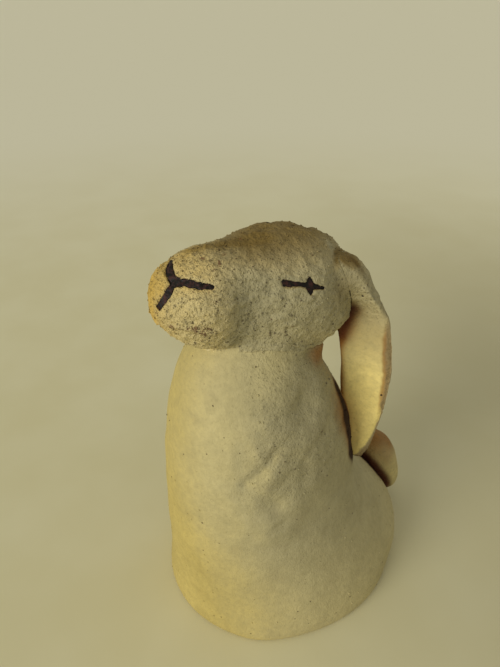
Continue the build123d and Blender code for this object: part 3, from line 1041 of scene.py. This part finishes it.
def grog_tree():
    """Geometry Nodes: sunken grains scattered over a skin, denser where it is gritty."""
    tree, given, made = new_group(
        "Grog grains",
        [("Skin", "Geometry"), ("Density", "Float", 20000.0), ("Smallest", "Float", 0.16 * MM),
         ("Largest", "Float", 0.42 * MM), ("Dark share", "Float", 0.25), ("Seed", "Int", 7),
         ("Clay", "Material")],
        [("Grains", "Geometry")], "GeometryNodeTree")
    grit = add(tree, "GeometryNodeInputNamedAttribute", {"Name": "grit"}, data_type="FLOAT")
    density = calc(tree, "MULTIPLY", grit.outputs[0], given.outputs["Density"])
    scatter = add(tree, "GeometryNodeDistributePointsOnFaces",
                  {"Mesh": given.outputs["Skin"], "Density": density, "Seed": given.outputs["Seed"]})
    dark = add(tree, "FunctionNodeRandomValue", {"Probability": given.outputs["Dark share"], "Seed": 3},
               data_type="BOOLEAN")
    tone = add(tree, "GeometryNodeStoreNamedAttribute",
               {"Name": "grain_tone", "Geometry": scatter.outputs["Points"],
                "Value": dark.outputs[CHOICE_RESULT]}, data_type="FLOAT", domain="POINT")
    size = add(tree, "FunctionNodeRandomValue",
               {NUMBER_LEAST: given.outputs["Smallest"], NUMBER_MOST: given.outputs["Largest"], "Seed": 5},
               data_type="FLOAT")
    turn = add(tree, "FunctionNodeRandomValue", {VECTOR_MOST: (math.tau, math.tau, math.tau), "Seed": 9},
               data_type="FLOAT_VECTOR")
    stretch = add(tree, "FunctionNodeRandomValue",
                  {VECTOR_LEAST: LEAST_STRETCH, VECTOR_MOST: MOST_STRETCH, "Seed": 11},
                  data_type="FLOAT_VECTOR")
    scale = add(tree, "ShaderNodeVectorMath",
                {0: stretch.outputs[0], "Scale": size.outputs[NUMBER_RESULT]}, operation="SCALE")
    grain = add(tree, "GeometryNodeMeshIcoSphere", {"Radius": 1.0, "Subdivisions": 1})
    spread = add(tree, "GeometryNodeInstanceOnPoints",
                 {"Points": tone.outputs[0], "Instance": grain.outputs["Mesh"],
                  "Rotation": turn.outputs[0], "Scale": scale.outputs[0]})
    real = add(tree, "GeometryNodeRealizeInstances", {0: spread.outputs[0]})
    finish = add(tree, "GeometryNodeSetMaterial",
                 {"Geometry": real.outputs[0], "Material": given.outputs["Clay"]})
    use(tree, made, 0, finish.outputs[0])
    return tree


GROG = grog_tree()


def smooth_shading(obj):
    """Shades a piece as one smooth skin."""
    obj.data.polygons.foreach_set("use_smooth", np.ones(len(obj.data.polygons), bool))


def scatter_grog(name, host, material, slot, **values):
    """Grains for one piece, as a plain mesh."""
    obj = bpy.data.objects.new(name, host.data.copy())
    SCENE.collection.objects.link(obj)
    modifier = obj.modifiers.new("grog", "NODES")
    modifier.node_group = GROG
    sockets = {item.name: item.identifier for item in GROG.interface.items_tree if item.in_out == "INPUT"}
    modifier[sockets["Clay"]] = material
    for label, value in values.items():
        modifier[sockets[label.replace("_", " ")]] = value
    bake(obj, name)
    place_points(obj, points_of(obj))
    smooth_shading(obj)
    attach(obj, "root")


def keep(obj, node, material):
    """Gives a worked piece its finish and ties it to the frame."""
    obj.data.materials.clear()
    obj.data.materials.append(material)
    smooth_shading(obj)
    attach(obj, "root")
    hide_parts(node)


scatter_grog("grog_body", body, BODY_CLAY, "body_clay", Density=110000.0, Seed=3, Dark_share=0.12)
scatter_grog("grog_head", head, HEAD_CLAY, "head_clay", Density=330000.0, Seed=5, Dark_share=0.18)

keep(body, "body_wall", BODY_CLAY)
keep(head, "head", HEAD_CLAY)
keep(smear, "neck_coil", HEAD_CLAY)
keep(ear_left, "ear_left", EAR_CLAY)
keep(ear_right, "ear_right", EAR_CLAY)
keep(tail, "tail", EAR_CLAY)
keep(nose, "nose_inlay", DARK_INLAY)
keep(eye_left, "eye_inlay_left", DARK_INLAY)
keep(eye_right, "eye_inlay_right", DARK_INLAY)
keep(mouth, "mouth_inlay", WORN_INLAY)
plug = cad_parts["base_plug"]
plug.data.materials.clear()
plug.data.materials.append(BODY_CLAY)


# Stage: paper floor, light and camera

# Paper: two tones of its clouds, a lighter tone far off that is painted light, and the tone of painted shade
# on the side away from the window
PAPER_DULL = linear(224, 215, 166)
PAPER_CLEAR = linear(229, 221, 175)
PAPER_FAR_PAINTED_LIGHT = linear(238, 232, 198)
PAPER_SHADE = linear(186, 177, 136)
PAPER_SPECULAR = 0.2
PAPER_HALF = 40.0
LEE_SIDE = (0.545, 0.839, 0.0)

# Window: the way to it, its width in degrees and its strength; then the room's light and backdrop
WINDOW_SIDE = (0.167, -0.946, 0.28)
WINDOW_SPREAD = 34.0
WINDOW_STRENGTH = 1.85
WINDOW_COLOUR = (1.0, 0.985, 0.95)
ROOM_COLOUR = (0.42, 0.42, 0.41, 1.0)
BACKDROP = linear(190, 185, 157)

# Camera of the photograph: its place, how far it looks round and down, its focal length in pixels
CAMERA_PLACE = (0.1300, -0.1027, 0.2120)
CAMERA_TURN = 57.0
CAMERA_DOWN = 32.0
FOCAL_PIXELS = 560.0
IMAGE_HEIGHT = 667.0
SENSOR = 36.0


def paper_material():
    """Pale clouded paper, painted lighter far off and painted with shade on the side away from the window."""
    material, tree, shader, where = blank_material("floor paper", PAPER_SPECULAR)
    clouds = noise(tree, where, 60.0, 3.0, 0.5)
    far = add(tree, "ShaderNodeVectorMath", {0: where}, operation="LENGTH").outputs["Value"]
    colour = blend_colour(tree, ramp(tree, clouds, 0.3, 0.7), PAPER_DULL, PAPER_CLEAR)
    # Painted light: the paper grows lighter far off
    colour = blend_colour(tree, ramp(tree, far, 0.15, 0.9), colour, PAPER_FAR_PAINTED_LIGHT)
    lee = add(tree, "ShaderNodeVectorMath", {0: where, 1: LEE_SIDE}, operation="DOT_PRODUCT").outputs["Value"]
    shade = calc(tree, "MULTIPLY", ramp(tree, lee, -0.02, 0.16), 0.65)
    shade = calc(tree, "MULTIPLY", shade, ramp(tree, far, 0.16, 0.6, 1.0, 0.0))
    use(tree, shader, "Base Color", blend_colour(tree, shade, colour, PAPER_SHADE))
    use(tree, shader, "Roughness", ramp(tree, clouds, 0.3, 0.7, 0.82, 0.95))
    return material


def paper_floor():
    """Large flat sheet under the figure."""
    mesh = bpy.data.meshes.new("paper_floor")
    low, high = -PAPER_HALF, PAPER_HALF
    mesh.from_pydata([(low, low, 0), (high, low, 0), (high, high, 0), (low, high, 0)], [], [(0, 1, 2, 3)])
    obj = bpy.data.objects.new("paper_floor", mesh)
    SCENE.collection.objects.link(obj)
    mesh.materials.append(paper_material())


def window_light():
    """Broad soft light from one direction, as from a window."""
    lamp = bpy.data.lights.new("window light", "SUN")
    lamp.angle = math.radians(WINDOW_SPREAD)
    lamp.energy = WINDOW_STRENGTH
    lamp.color = WINDOW_COLOUR
    obj = bpy.data.objects.new("window light", lamp)
    obj.rotation_euler = Vector(WINDOW_SIDE).to_track_quat("Z", "Y").to_euler()
    SCENE.collection.objects.link(obj)


def room_light():
    """Even light from all round; the camera and mirrors see a pale backdrop instead."""
    world = bpy.data.worlds.new("room")
    world.use_nodes = True
    tree = world.node_tree
    path = add(tree, "ShaderNodeLightPath")
    seen = calc(tree, "MAXIMUM", path.outputs["Is Camera Ray"], path.outputs["Is Glossy Ray"])
    seen = calc(tree, "MAXIMUM", seen, path.outputs["Is Transmission Ray"])
    use(tree, tree.nodes["Background"], "Color", blend_colour(tree, seen, ROOM_COLOUR, BACKDROP))
    SCENE.world = world


def photo_camera():
    """Camera at the photograph's place and angle."""
    data = bpy.data.cameras.new("photo camera")
    data.sensor_width = SENSOR
    data.lens = FOCAL_PIXELS * SENSOR / IMAGE_HEIGHT
    data.clip_start = 0.005
    obj = bpy.data.objects.new("photo camera", data)
    obj.location = CAMERA_PLACE
    obj.rotation_euler = (math.radians(90 - CAMERA_DOWN), 0, math.radians(CAMERA_TURN))
    SCENE.collection.objects.link(obj)
    SCENE.camera = obj


paper_floor()
window_light()
room_light()
photo_camera()
